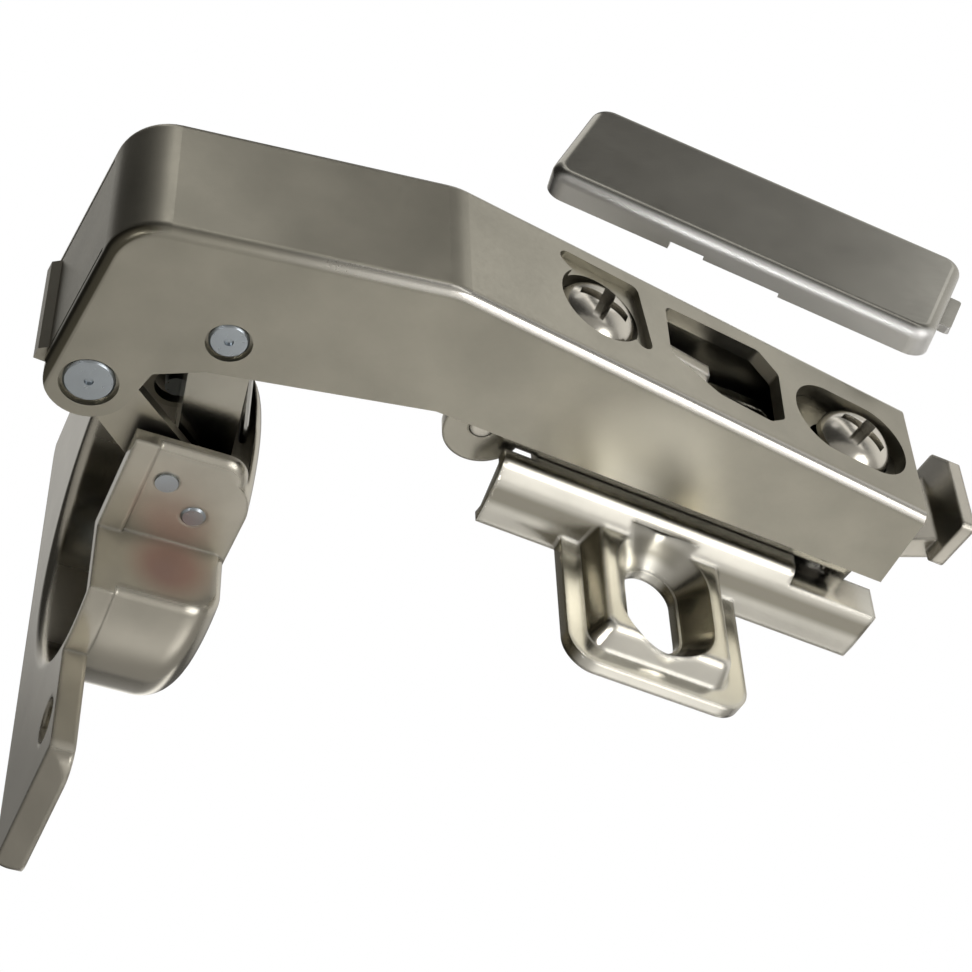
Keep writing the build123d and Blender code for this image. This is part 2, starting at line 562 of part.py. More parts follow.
# Outer link: a wide fork whose cheeks pass outside the inner link, with loose eyes at the cup
EYE_HOLE = CUP_OUTER_PIN_RADIUS + LOOSE_EYE_GAP
OUTER_END = OUTER_RIVET_RADIUS + 0.9
EYE_END = EYE_HOLE + EYE_WALL
with BuildPart() as outer_link:
    add(link_outline(OUTER_PIVOT, PIN_C, OUTER_END, EYE_END))
    extrude(amount=OUTER_HALF, both=True)
    # The web joins the cheeks on the flank that faces the door
    with BuildSketch(SIDE):
        with BuildLine():
            link_cut(OUTER_PIVOT, PIN_C, OUTER_END - LINK_SHEET, EYE_END - LINK_SHEET, 12)
        make_face()
    extrude(amount=OUTER_HALF - LINK_SHEET, both=True, mode=Mode.SUBTRACT)
    # Towards the cup the web ends and the cheeks run on as two free eyes
    reach = (Vector(*PIN_C) - Vector(*OUTER_PIVOT)).normalized()
    side_step = Vector(-reach.Y, reach.X)
    with BuildSketch(SIDE):
        with BuildLine():
            near = Vector(*OUTER_PIVOT) + reach * 7.0
            far = Vector(*PIN_C) + reach * 8
            Polyline(*[(p.X, p.Y) for p in (near - side_step * 7, far - side_step * 7, far + side_step * 7,
                                            near + side_step * 7)], close=True)
        make_face()
    extrude(amount=OUTER_HALF - LINK_SHEET, both=True, mode=Mode.SUBTRACT)
    with BuildSketch(SIDE):
        with Locations(OUTER_PIVOT):
            Circle(OUTER_RIVET_RADIUS + RUNNING_GAP)
        with Locations(PIN_C):
            Circle(EYE_HOLE)
    extrude(amount=20, both=True, mode=Mode.SUBTRACT)
outer_link.part.label = "outer_link"
export_step(outer_link.part, "parts/outer_link.step")

# Rivets of the arm, with heads sunk in the dished seats of both walls
for name, pivot, shank, head in (("outer_link_rivet", OUTER_PIVOT, OUTER_RIVET_RADIUS, 2.4),
                                ("inner_link_rivet", INNER_PIVOT, INNER_RIVET_RADIUS, 1.85)):
    with BuildPart() as rivet:
        with BuildSketch(SIDE):
            with Locations(pivot):
                Circle(shank)
        extrude(amount=ARM_WIDTH / 2 - 0.6, both=True)
        for side in (1, -1):
            with BuildSketch(SIDE.offset(side * (ARM_WIDTH / 2 - 0.6))):
                with Locations(pivot):
                    Circle(head)
            extrude(amount=side * 0.45)
        heads = rivet.faces().filter_by(Plane.XY)
        chamfer(heads.sort_by(Axis.Z)[0].edges() + heads.sort_by(Axis.Z)[-1].edges(), length=0.2)
        # Centre dimples left by the riveting
        for side in (1, -1):
            with BuildSketch(SIDE.offset(side * (ARM_WIDTH / 2 - 0.4))):
                with Locations(pivot):
                    Circle(0.45)
            extrude(amount=side, mode=Mode.SUBTRACT)
    rivet.part.label = name
    export_step(rivet.part, "parts/" + name + ".step")

# Nylon bush on the small rivet, inside the closing spring
with BuildPart() as spring_bush:
    with BuildSketch(SIDE):
        with Locations(INNER_PIVOT):
            Circle(1.95)
            Circle(INNER_RIVET_RADIUS + RUNNING_GAP, mode=Mode.SUBTRACT)
    extrude(amount=INNER_HALF - INNER_SHEET - 0.1, both=True)
spring_bush.part.label = "spring_bush"
export_step(spring_bush.part, "parts/spring_bush.step")

# Closing spring: a torsion coil round the bush with one leg down the inner link
SPRING_WIRE = 0.42
SPRING_RADIUS = 2.42
SPRING_TURNS = 5
with BuildPart() as closing_spring:
    coil_pitch = 2 * SPRING_WIRE + 0.16
    coil_height = SPRING_TURNS * coil_pitch
    with BuildLine(Plane(origin=place(*INNER_PIVOT, -coil_height / 2))) as coil:
        Helix(pitch=coil_pitch, height=coil_height, radius=SPRING_RADIUS)
    with BuildSketch(Plane(origin=coil.line @ 0, z_dir=coil.line % 0)):
        RegularPolygon(radius=SPRING_WIRE, side_count=WIRE_FACETS)
    sweep(path=coil.line)
    for end, run in ((0, (5.4, 14.8)), (1, (4.0, -10.4))):
        start = coil.line @ end
        with BuildLine() as leg:
            Line(start, start + Vector(run[0], run[1], 0))
        with BuildSketch(Plane(origin=start, z_dir=leg.line % 0)):
            RegularPolygon(radius=SPRING_WIRE, side_count=WIRE_FACETS)
        sweep(path=leg.line)
closing_spring.part.label = "closing_spring"
export_step(closing_spring.part, "parts/closing_spring.step")

# Cup: a drawn shell with its flange, two flat lugs for the pins and an open hinge side
BASE_ROUND = 3.6
LUG_LIP = 0.4
RIM_RADIUS = CUP_DIAMETER / 2 + 0.5
EAR_BEVEL = 2.2
with BuildPart() as hinge_cup:
    with BuildSketch(CUP):
        Circle(CUP_DIAMETER / 2)
    extrude(amount=-CUP_DEPTH)
    fillet(hinge_cup.edges().filter_by(GeomType.CIRCLE).sort_by(Axis.X)[-1], radius=BASE_ROUND)
    # Pressed-in corners that leave the flat lugs, each with a creased wall
    for side in (1, -1):
        with BuildSketch(CUP.offset(-CUP_DEPTH - 1)):
            with Locations((CREASE_X - 15, side * (LUG_HALF_WIDTH + 15))):
                Rectangle(30, 30)
        extrude(amount=CUP_DEPTH + 2, mode=Mode.SUBTRACT)
    wall_rims = [e for e in hinge_cup.edges().filter_by(GeomType.LINE)
                 if abs(CUP.to_local_coords(e.center()).Y) > 15 and e.length > 5]
    fillet(wall_rims, radius=1.3)
    # Lugs run out past the round of the cup, with rolled edges
    with BuildPart(mode=Mode.PRIVATE) as lugs:
        with BuildSketch(CUP.offset(-LUG_DEPTH)):
            with Locations(((LUG_END + CREASE_X) / 2, 0)):
                Rectangle(CREASE_X - LUG_END, 2 * LUG_HALF_WIDTH)
        extrude(amount=LUG_DEPTH)
        free_end = lugs.faces().sort_by(Axis.Y)[0]
        fillet(free_end.edges().filter_by(Axis.Z).sort_by(Axis.X)[-1], radius=2.6)
        fillet(lugs.faces().sort_by(Axis.Y)[0].edges().filter_by(GeomType.LINE).filter_by(Axis.Z, reverse=True), radius=1.1)
    add(lugs.part)
    # Flange with its two ears, and a low lip along the lugs
    with BuildSketch(CUP.offset(FLANGE_TOP - FLANGE_HEIGHT)) as flange:
        Circle(RIM_RADIUS)
        for side in (1, -1):
            with Locations((CREASE_X - 15, side * (LUG_HALF_WIDTH + LUG_LIP + 15))):
                Rectangle(30, 30, mode=Mode.SUBTRACT)
        with Locations(((FLANGE_FAR + EAR_NEAR) / 2, 0)):
            Rectangle(FLANGE_FAR - EAR_NEAR, 2 * FLANGE_HALF_LENGTH)
        with Locations(((LUG_END + CREASE_X) / 2, 0)):
            Rectangle(CREASE_X - LUG_END, 2 * (LUG_HALF_WIDTH + LUG_LIP))
        ear_corners = [v for v in flange.vertices() if abs(v.Y) > FLANGE_HALF_LENGTH - 0.1]
        fillet([v for v in ear_corners if v.X > EAR_NEAR + 1], radius=4.0)
        fillet([v for v in flange.vertices() if abs(v.Y) > FLANGE_HALF_LENGTH - 0.1 and v.X < EAR_NEAR + 0.1], radius=3.0)
    extrude(amount=FLANGE_HEIGHT)
    # Inside of the cup and of the lugs, rounded where the floor meets the wall
    inner_radius = CUP_DIAMETER / 2 - CUP_WALL
    lug_inner = LUG_HALF_WIDTH - CUP_WALL
    wall_x = CREASE_X + CUP_WALL
    wall_end = math.sqrt(inner_radius ** 2 - wall_x ** 2)
    with BuildSketch(CUP.offset(CUP_WALL - CUP_DEPTH)) as hollow:
        with BuildLine():
            Polyline((-30, lug_inner), (wall_x, lug_inner), (wall_x, wall_end))
            ThreePointArc((wall_x, wall_end), (inner_radius, 0), (wall_x, -wall_end))
            Polyline((wall_x, -wall_end), (wall_x, -lug_inner), (-30, -lug_inner), (-30, lug_inner))
        make_face()
    extrude(amount=CUP_DEPTH + FLANGE_TOP, mode=Mode.SUBTRACT)
    round_edges = [e for e in hinge_cup.edges().filter_by(GeomType.CIRCLE) if abs(e.radius - inner_radius) < 0.01]
    fillet(sorted(round_edges, key=lambda e: e.center().X)[-1], radius=2.4)
    fillet(sorted(round_edges, key=lambda e: e.center().X)[0], radius=1.0)
    # Bevelled ends of the ears
    for side in (1, -1):
        with BuildSketch(Plane(origin=CUP.origin, x_dir=(0, 0, 1), z_dir=door_dir)):
            with BuildLine():
                end, top = side * (FLANGE_HALF_LENGTH + 0.1), -FLANGE_TOP - 0.1
                Polyline((end, top), (end - side * (EAR_BEVEL + 0.1), top), (end, top + EAR_BEVEL + 0.1), close=True)
            make_face()
        extrude(amount=FLANGE_FAR + 1, mode=Mode.SUBTRACT)
    # Holes for the pins in the lugs, and for the wood screws in the ears
    with BuildSketch(SIDE):
        with Locations(PIN_C):
            Circle(CUP_OUTER_PIN_RADIUS)
        with Locations(PIN_D):
            Circle(CUP_INNER_PIN_RADIUS)
    extrude(amount=LUG_HALF_WIDTH + 1, both=True, mode=Mode.SUBTRACT)
    with BuildSketch(CUP):
        for side in (1, -1):
            with Locations((CUP_SCREW_OFFSET, side * CUP_SCREW_SPACING / 2)):
                Circle(CUP_SCREW_HOLE / 2)
    extrude(amount=FLANGE_HEIGHT + 2, both=True, mode=Mode.SUBTRACT)
hinge_cup.part.label = "hinge_cup"
export_step(hinge_cup.part, "parts/hinge_cup.step")

# Pins of the cup: two stubs that the outer link's eyes hang on, and one through pin for the inner link
PIN_PROUD = 0.2
with BuildPart() as cup_outer_pins:
    for side in (1, -1):
        with BuildSketch(SIDE.offset(side * (OUTER_HALF - LINK_SHEET - 0.15))):
            with Locations(PIN_C):
                Circle(CUP_OUTER_PIN_RADIUS)
        extrude(amount=side * (LUG_HALF_WIDTH + PIN_PROUD - OUTER_HALF + LINK_SHEET + 0.15))
cup_outer_pins.part.label = "cup_outer_pins"
export_step(cup_outer_pins.part, "parts/cup_outer_pins.step")

with BuildPart() as cup_inner_pin:
    with BuildSketch(SIDE):
        with Locations(PIN_D):
            Circle(CUP_INNER_PIN_RADIUS)
    extrude(amount=LUG_HALF_WIDTH + PIN_PROUD, both=True)
    chamfer(cup_inner_pin.edges(), length=0.2)
cup_inner_pin.part.label = "cup_inner_pin"
export_step(cup_inner_pin.part, "parts/cup_inner_pin.step")

# Cover cap: a shallow drawn lid with spring tongues, held away from its seat on the arm
CAP_SEAT = ARM_TOP.from_local_coords(Vector(CAP_SEAT_X, 0, 0.05))
turn = Axis((0, 0, 0), CAP_TURN_AXIS)
CAP = Plane(origin=CAP_SEAT + Vector(*CAP_AWAY), x_dir=ARM_TOP.x_dir.rotate(turn, CAP_TURN),
            z_dir=ARM_TOP.z_dir.rotate(turn, CAP_TURN))
CAP_WIDTH = ARM_WIDTH
with BuildPart() as cover_cap:
    with BuildSketch(CAP):
        RectangleRounded(CAP_LENGTH, CAP_WIDTH, 2.2)
    extrude(amount=CAP_HEIGHT)
    top_rim = [e for e in cover_cap.edges() if CAP.to_local_coords(e.center()).Z > CAP_HEIGHT - 0.01]
    fillet(top_rim, radius=1.2)
    with BuildSketch(CAP):
        RectangleRounded(CAP_LENGTH - 2 * CAP_SHEET, CAP_WIDTH - 2 * CAP_SHEET, 1.4)
    extrude(amount=CAP_HEIGHT - CAP_SHEET, mode=Mode.SUBTRACT)
    # Low notches in both long edges: middle, length and depth of each
    for notch_x, notch_length, notch_depth in ((-5.1, 3.8, 0.9), (1.0, 8.6, 0.45)):
        with BuildSketch(CAP):
            with Locations((notch_x, 0)):
                Rectangle(notch_length, CAP_WIDTH + 2)
        extrude(amount=notch_depth, mode=Mode.SUBTRACT)
    # Tongues that drop into the middle opening of the arm
    for side in (1, -1):
        with BuildSketch(CAP.offset(-1.2)):
            with Locations((-0.9, side * 3.4 - 0.2)):
                Rectangle(5.0, 0.8)
        extrude(amount=CAP_HEIGHT + 1.2 - CAP_SHEET / 2)
    # Small lip at the rear end
    with BuildSketch(CAP):
        with Locations((CAP_LENGTH / 2 + 0.3, 1.2)):
            RectangleRounded(2.0, 5.6, 0.4)
    extrude(amount=0.9)
cover_cap.part.label = "cover_cap"
export_step(cover_cap.part, "parts/cover_cap.step")
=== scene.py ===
import bpy
import math
from mathutils import Matrix, Vector

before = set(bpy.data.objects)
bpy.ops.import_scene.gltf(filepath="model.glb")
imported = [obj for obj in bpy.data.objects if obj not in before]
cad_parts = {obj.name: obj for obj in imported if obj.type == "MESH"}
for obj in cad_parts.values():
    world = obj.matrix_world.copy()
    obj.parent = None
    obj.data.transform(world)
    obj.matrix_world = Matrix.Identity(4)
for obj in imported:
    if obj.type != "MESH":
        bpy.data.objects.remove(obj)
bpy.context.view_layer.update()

# The photograph's view: from below the hinge, looking up along its pins, with the camera slightly tilted.
# Places are in metres, the lens and its sensor in millimetres, and angles in degrees.
# Azimuth 0 looks along +Y, and a negative elevation looks up.
VIEW_AZIMUTH = -30.63
VIEW_ELEVATION = -46.71
VIEW_ROLL = -2.73
CAMERA_PLACE = (-0.0962, -0.1344, -0.1707)
LENS = 87.9
SENSOR_WIDTH = 36.0
FRAME_SHIFT = (-0.0021, -0.0043)
NEAREST_SEEN = 0.01
FARTHEST_SEEN = 20.0
camera_data = bpy.data.cameras.new("camera")
camera_data.lens = LENS
camera_data.sensor_width = SENSOR_WIDTH
camera_data.shift_x, camera_data.shift_y = FRAME_SHIFT
camera_data.clip_start = NEAREST_SEEN
camera_data.clip_end = FARTHEST_SEEN
camera = bpy.data.objects.new("camera", camera_data)
bpy.context.scene.collection.objects.link(camera)
azimuth = math.radians(VIEW_AZIMUTH)
elevation = math.radians(VIEW_ELEVATION)
towards_camera = Vector((
    math.sin(azimuth) * math.cos(elevation),
    -math.cos(azimuth) * math.cos(elevation),
    math.sin(elevation),
))
roll = Matrix.Rotation(math.radians(VIEW_ROLL), 3, "Z").to_quaternion()
camera.rotation_mode = "QUATERNION"
camera.rotation_quaternion = towards_camera.to_track_quat("Z", "Y") @ roll
camera.location = CAMERA_PLACE
bpy.context.scene.camera = camera
bpy.context.scene.view_settings.view_transform = "Standard"

# The studio: a white surround, a pale floor under the hinge that keeps its shadow, and soft lamps.
# The plating mirrors a grey room with bands of tone along one direction: dark towards the nose and below,
# then one narrow bright band, dark again, and pale towards the rear of the arm and above.
BACKGROUND = (1, 1, 1, 1)
ROOM_DIRECTION = (0.86, -0.15, 0.50)
ROOM_NOSE_END = (0.04, 0.038, 0.034)
ROOM_REAR_END = (0.70, 0.68, 0.64)
ROOM_TINT = (1.0, 0.975, 0.92)
ROOM_BANDS = (
    (0.47, 0.04), (0.57, 0.22), (0.64, 0.30), (0.70, 1.35),
    (0.73, 0.12), (0.79, 0.11), (0.83, 0.32), (0.90, 0.58),
)
FLOOR_HEIGHT = -0.30
FLOOR_SIZE = 6.0
FLOOR_COLOUR = (0.82, 0.81, 0.79, 1)
FLOOR_ROUGHNESS = 0.9


def set_sockets(tree, node, sockets):
    """Give each socket named its number or colour, or link it to another node's output."""
    for socket, value in sockets.items():
        if isinstance(value, bpy.types.NodeSocket):
            tree.links.new(value, node.inputs[socket])
        else:
            node.inputs[socket].default_value = value


def add_node(tree, kind, sockets=None, **settings):
    """Add a shader node with its settings made and its sockets filled."""
    node = tree.nodes.new("ShaderNode" + kind)
    for setting, value in settings.items():
        setattr(node, setting, value)
    set_sockets(tree, node, sockets or {})
    return node


def colour_ramp(tree, value, stops):
    """Turn a value into a colour, blended between stops of a position and a colour each."""
    ramp = add_node(tree, "ValToRGB", {"Fac": value})
    elements = ramp.color_ramp.elements
    elements.remove(elements[1])
    (position, colour), *others = stops
    elements[0].position = position
    elements[0].color = (*colour, 1)
    for position, colour in others:
        elements.new(position).color = (*colour, 1)
    return ramp.outputs["Color"]


world = bpy.data.worlds.new("surround")
bpy.context.scene.world = world
world.use_nodes = True
tree = world.node_tree
tree.nodes.clear()
looking = add_node(tree, "TexCoord").outputs["Generated"]
along = add_node(tree, "VectorMath", {0: looking, 1: ROOM_DIRECTION}, operation="DOT_PRODUCT")
level = add_node(tree, "MapRange", {"Value": along.outputs["Value"], "From Min": -1.0})
bands = [(position, [shade * part for part in ROOM_TINT]) for position, shade in ROOM_BANDS]
room_tone = colour_ramp(tree, level.outputs[0], [(0.0, ROOM_NOSE_END), *bands, (1.0, ROOM_REAR_END)])
room = add_node(tree, "Background", {"Color": room_tone})
background = add_node(tree, "Background", {"Color": BACKGROUND})
from_camera = add_node(tree, "LightPath").outputs["Is Camera Ray"]
surround = add_node(tree, "MixShader", {0: from_camera, 1: room.outputs[0], 2: background.outputs[0]})
add_node(tree, "OutputWorld", {"Surface": surround.outputs[0]})

bpy.ops.object.select_all(action="DESELECT")
bpy.ops.mesh.primitive_plane_add(size=FLOOR_SIZE, location=(0, 0, FLOOR_HEIGHT))
floor = bpy.context.object
floor.name = "floor"
floor_paint = bpy.data.materials.new("floor_paint")
floor_paint.use_nodes = True
paint = floor_paint.node_tree.nodes["Principled BSDF"]
set_sockets(floor_paint.node_tree, paint, {"Base Color": FLOOR_COLOUR, "Roughness": FLOOR_ROUGHNESS})
floor.data.materials.append(floor_paint)

HINGE_MIDDLE = (-0.02, 0.0, 0.0)
CAP_MIDDLE = (0.006, -0.024, 0.028)
FRONT_FLOOR = (0.18, -0.23, FLOOR_HEIGHT)
REAR_FLOOR = (0.17, 0.25, FLOOR_HEIGHT)
WARM_WHITE = (1.0, 0.99, 0.96)
SOFT_WHITE = (1.0, 0.99, 0.97)
PLAIN_WHITE = (1.0, 1.0, 1.0)
CONE_BLEND = 0.4


def soft_lamp(name, place, aim, width, power, colour, cone=None):
    """Put a round lamp at its place, turned to its aim; with a cone, in degrees, it lights only inside it."""
    if cone is None:
        lamp_data = bpy.data.lights.new(name, "AREA")
        lamp_data.shape = "DISK"
        lamp_data.size = width
    else:
        lamp_data = bpy.data.lights.new(name, "SPOT")
        lamp_data.spot_size = math.radians(cone)
        lamp_data.spot_blend = CONE_BLEND
        lamp_data.shadow_soft_size = width / 2
    lamp_data.energy = power
    lamp_data.color = colour
    lamp = bpy.data.objects.new(name, lamp_data)
    bpy.context.scene.collection.objects.link(lamp)
    lamp.location = place
    lamp.rotation_mode = "QUATERNION"
    lamp.rotation_quaternion = (Vector(aim) - Vector(place)).to_track_quat("-Z", "Y")


soft_lamp("key_lamp", (0.20, -0.33, 0.40), HINGE_MIDDLE, width=0.16, power=0.03, colour=WARM_WHITE)
soft_lamp("edge_lamp", (0.18, -0.33, -0.26), HINGE_MIDDLE, width=0.26, power=0.40, colour=SOFT_WHITE)
soft_lamp("side_lamp", (-0.19, 0.37, 0.44), HINGE_MIDDLE, width=0.30, power=0.05, colour=SOFT_WHITE)
soft_lamp("cap_lamp", (-0.205, -0.09, -0.25), CAP_MIDDLE, width=0.10, power=4.0, colour=PLAIN_WHITE, cone=8.0)
soft_lamp("nose_lamp", (-0.15, -0.29, 0.31), HINGE_MIDDLE, width=0.12, power=0.015, colour=WARM_WHITE)
soft_lamp("front_floor_lamp", (0.18, -0.23, -0.14), FRONT_FLOOR, width=0.18, power=0.38, colour=SOFT_WHITE)
soft_lamp("floor_lamp", (0.20, 0.27, -0.14), REAR_FLOOR, width=0.12, power=0.26, colour=SOFT_WHITE)

# mounting_plate: cruciform plate pressed from steel sheet, with a bright nickel plating.
# The flanks that face the nose and a strip along the rail's near side are painted darker, as painted shade.
# The plate is screwed to the cabinet through the slots of its two wings.
BLACK = (0, 0, 0, 1)
MIX_AMOUNT, MIX_FIRST, MIX_SECOND = 0, 6, 7
MIX_RESULT = 2
CLOUDS_PER_METRE = 140.0
CLOUD_SPAN = (0.3, 0.7)
CLOUD_STRENGTH = 0.12
GRAINS_PER_METRE = 2600.0
BRUSHED_GRAINS_PER_METRE = 90.0
GRAIN_STRENGTH = 0.25
GRAIN_HEIGHT = 0.0001
RECESS_SHADE_REACH = 0.008
RECESS_SHADE_SPAN = (0.15, 0.70)
# A span is where a change of finish starts and where it is complete, and a turn is such a span of facings.
FLANK_SHADE_TURN = (-0.45, -0.80)
FLANK_SHADE_COLOUR = (0.20, 0.18, 0.13)
STRIP_TURN = (-0.5, -0.8)
STRIP_PANEL_SIDE = (-0.0018, -0.0026)
STRIP_ARM_SIDE = (-0.0042, -0.0034)
STRIP_NEAR_SIDE = (-0.0122, -0.0114)
STRIP_SHADE_COLOUR = (0.44, 0.42, 0.36)


def mixed(tree, amount, first, second):
    """Blend from the first colour, where the amount is 0, to the second, where it is 1."""
    sockets = {MIX_AMOUNT: amount, MIX_FIRST: first, MIX_SECOND: second}
    return add_node(tree, "Mix", sockets, data_type="RGBA").outputs[MIX_RESULT]


def finish(name, colour, roughness, metallic=1.0, relief=0.05, recess=0.25, edge=0.0, brushed_along=None):
    """Make a finish that is a little cloudy and finely grained.

    Relief is the strength of the grain's bumps, recess the share of the colour left as painted shade in the
    deepest recesses, edge the radius to which sharp edges look rounded, and brushed_along the grain's axis.
    """
    surface = bpy.data.materials.new(name)
    surface.use_nodes = True
    tree = surface.node_tree
    place = add_node(tree, "TexCoord").outputs["Object"]

    cloud = add_node(tree, "TexNoise", {"Vector": place, "Scale": CLOUDS_PER_METRE, "Detail": 4.0})
    dull = [part * (1 - CLOUD_STRENGTH) for part in colour]
    bright = [min(1, part * (1 + CLOUD_STRENGTH / 2)) for part in colour]
    clouded = colour_ramp(tree, cloud.outputs["Fac"], zip(CLOUD_SPAN, (dull, bright)))
    # Painted shade: ambient occlusion darkens the colour in recesses, creases and between parts.
    openness = add_node(tree, "AmbientOcclusion", {"Distance": RECESS_SHADE_REACH}, samples=6).outputs["AO"]
    deep, clear = RECESS_SHADE_SPAN
    level = {"Value": openness, "From Min": deep, "From Max": clear, "To Min": recess}
    shaded = mixed(tree, add_node(tree, "MapRange", level).outputs[0], BLACK, clouded)

    grains = [GRAINS_PER_METRE] * 3
    if brushed_along is not None:
        grains["XYZ".index(brushed_along)] = BRUSHED_GRAINS_PER_METRE
    stretched = add_node(tree, "Mapping", {"Vector": place, "Scale": grains}).outputs[0]
    grain = add_node(tree, "TexNoise", {"Vector": stretched, "Scale": 1.0, "Detail": 3.0}).outputs["Fac"]
    smoothest = roughness * (1 - GRAIN_STRENGTH)
    roughest = roughness * (1 + GRAIN_STRENGTH)
    gloss = add_node(tree, "MapRange", {"Value": grain, "To Min": smoothest, "To Max": roughest})
    bump = add_node(tree, "Bump", {"Height": grain, "Strength": relief, "Distance": GRAIN_HEIGHT})
    if edge > 0:
        rounded = add_node(tree, "Bevel", {"Radius": edge}, samples=4)
        tree.links.new(rounded.outputs[0], bump.inputs["Normal"])

    set_sockets(tree, tree.nodes["Principled BSDF"], {
        "Base Color": shaded,
        "Metallic": metallic,
        "Roughness": gloss.outputs[0],
        "Normal": bump.outputs[0],
    })
    return surface


def reading(material, coordinate, axis):
    """Read a point's place (Object) or the way that its surface faces (Normal), along an axis."""
    source = add_node(material.node_tree, "TexCoord").outputs[coordinate]
    return add_node(material.node_tree, "SeparateXYZ", {0: source}).outputs[axis]


def fade(material, value, span):
    """Rise smoothly from 0 at the start of the span to 1 at its end, which may be the smaller number."""
    start, end = span
    sockets = {"Value": value, "From Min": start, "From Max": end}
    return add_node(material.node_tree, "MapRange", sockets, interpolation_type="SMOOTHSTEP").outputs[0]


def lying(material, axis, span):
    """Mask what lies past the span along an axis."""
    return fade(material, reading(material, "Object", axis), span)


def facing(material, axis, span):
    """Mask what faces along an axis, where 1 or -1 is square on."""
    return fade(material, reading(material, "Normal", axis), span)


def product(material, first, *others):
    """Multiply readings, or masks, which leaves what the masks share."""
    for other in others:
        first = add_node(material.node_tree, "Math", {0: first, 1: other}, operation="MULTIPLY").outputs[0]
    return first


def tint(material, amount, colour):
    """Give the finish another colour where the amount is 1."""
    base = material.node_tree.nodes["Principled BSDF"].inputs["Base Color"]
    tinted = mixed(material.node_tree, amount, base.links[0].from_socket, (*colour, 1))
    material.node_tree.links.new(tinted, base)


def dress(material, *node_names):
    """Put the finish on CAD pieces, which have one slot each."""
    for node_name in node_names:
        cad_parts[node_name].data.materials[0] = material


plate_nickel = finish(
    "plate_nickel", colour=(0.92, 0.90, 0.83), roughness=0.18, relief=0.01, recess=0.15, edge=0.0007,
)
# Painted shade: the wing flanks that face the nose are painted dark.
tint(plate_nickel, facing(plate_nickel, "X", FLANK_SHADE_TURN), FLANK_SHADE_COLOUR)
# Painted shade: a strip in the groove under the rail's near lip is painted darker.
shaded_strip = product(
    plate_nickel,
    lying(plate_nickel, "Y", STRIP_ARM_SIDE),
    lying(plate_nickel, "Y", STRIP_PANEL_SIDE),
    lying(plate_nickel, "Z", STRIP_NEAR_SIDE),
    facing(plate_nickel, "Z", STRIP_TURN),
)
tint(plate_nickel, shaded_strip, STRIP_SHADE_COLOUR)
dress(plate_nickel, "mounting_plate")

# adjuster_channel: channel pressed from steel sheet and nickel plated, clipped on the plate inside the arm.
# The pin in its round front lobe sits in the plate's hook, and the release lever holds its rear end.
# The three ribs on its raised ramp, which show through the arm's middle opening, are painted bright as a
# painted highlight.
HIGHLIGHT_AND_WEAR_NICKEL = (0.97, 0.95, 0.90)
RAMP_START = (-0.010, -0.006)
RIB_FOOT = (-0.0148, -0.0156)
RIB_ROUGHNESS = 0.45


def set_roughness(material, amount, roughness):
    """Give the finish another roughness where the amount is 1."""
    rough = material.node_tree.nodes["Principled BSDF"].inputs["Roughness"]
    sockets = {"Value": amount, "To Min": rough.links[0].from_socket, "To Max": roughness}
    level = add_node(material.node_tree, "MapRange", sockets)
    material.node_tree.links.new(level.outputs[0], rough)


channel_nickel = finish(
    "channel_nickel", colour=(0.46, 0.44, 0.38), roughness=0.22, relief=0.01, recess=0.06, edge=0.0004,
)
rib_highlight = product(channel_nickel, lying(channel_nickel, "X", RAMP_START), lying(channel_nickel, "Y", RIB_FOOT))
# Painted highlight: the rib tops are painted bright nickel and made rougher.
tint(channel_nickel, rib_highlight, HIGHLIGHT_AND_WEAR_NICKEL)
set_roughness(channel_nickel, rib_highlight, RIB_ROUGHNESS)
dress(channel_nickel, "adjuster_channel")

# hinge_arm: one channel pressed from steel sheet, satin nickel plated and screwed to the adjuster channel.
# Its long outer edges are rubbed bright and carry a painted highlight, most along the sloping back,
# and a patch on its near side is a painted reflection.
# The side edges of the nose's front are painted dark, as a painted dark reflection.
LONG_EDGE_TURN = (0.10, 0.40)
NOSE_EDGE_TURN = (0.10, 0.28)
TOWARDS_BACK = (-0.052, -0.030)
TOWARDS_NOSE = (-0.050, -0.054)
WORN_ROUGHNESS = 0.20
NOSE_EDGE_SHADE_COLOUR = (0.13, 0.12, 0.09)
HIGHLIGHT_PATCH_MIDDLE = (-0.0068, -0.0118, -0.0081)
HIGHLIGHT_PATCH_SPAN = (0.0095, 0.0005)
HIGHLIGHT_PATCH_COLOUR = (0.92, 0.89, 0.78)


def rounded_edge(material, first_axis, second_axis, span):
    """Mask the rounded edges between walls that face along the two axes."""
    facings = [reading(material, "Normal", axis) for axis in (first_axis, second_axis)]
    turn = add_node(material.node_tree, "Math", {0: product(material, *facings)}, operation="ABSOLUTE")
    return fade(material, turn.outputs[0], span)


def near_to(material, middle, span):
    """Mask what lies near a point: the span runs from the farther distance to the nearer."""
    place = add_node(material.node_tree, "TexCoord").outputs["Object"]
    gap = add_node(material.node_tree, "VectorMath", {0: place, 1: middle}, operation="DISTANCE")
    return fade(material, gap.outputs["Value"], span)


arm_nickel = finish("arm_nickel", colour=(0.47, 0.45, 0.385), roughness=0.33, relief=0.02, recess=0.6)
long_edges = rounded_edge(arm_nickel, "Y", "Z", LONG_EDGE_TURN)
nose_edges = rounded_edge(arm_nickel, "X", "Z", NOSE_EDGE_TURN)
worn_and_highlit = product(arm_nickel, long_edges, lying(arm_nickel, "X", TOWARDS_BACK))
shaded_nose_edges = product(arm_nickel, nose_edges, lying(arm_nickel, "X", TOWARDS_NOSE))
# Painted reflection: a bright patch is painted on the near side wall.
tint(arm_nickel, near_to(arm_nickel, HIGHLIGHT_PATCH_MIDDLE, HIGHLIGHT_PATCH_SPAN), HIGHLIGHT_PATCH_COLOUR)
# Worn edges with a painted highlight: the rubbed long edges are painted bright nickel.
tint(arm_nickel, worn_and_highlit, HIGHLIGHT_AND_WEAR_NICKEL)
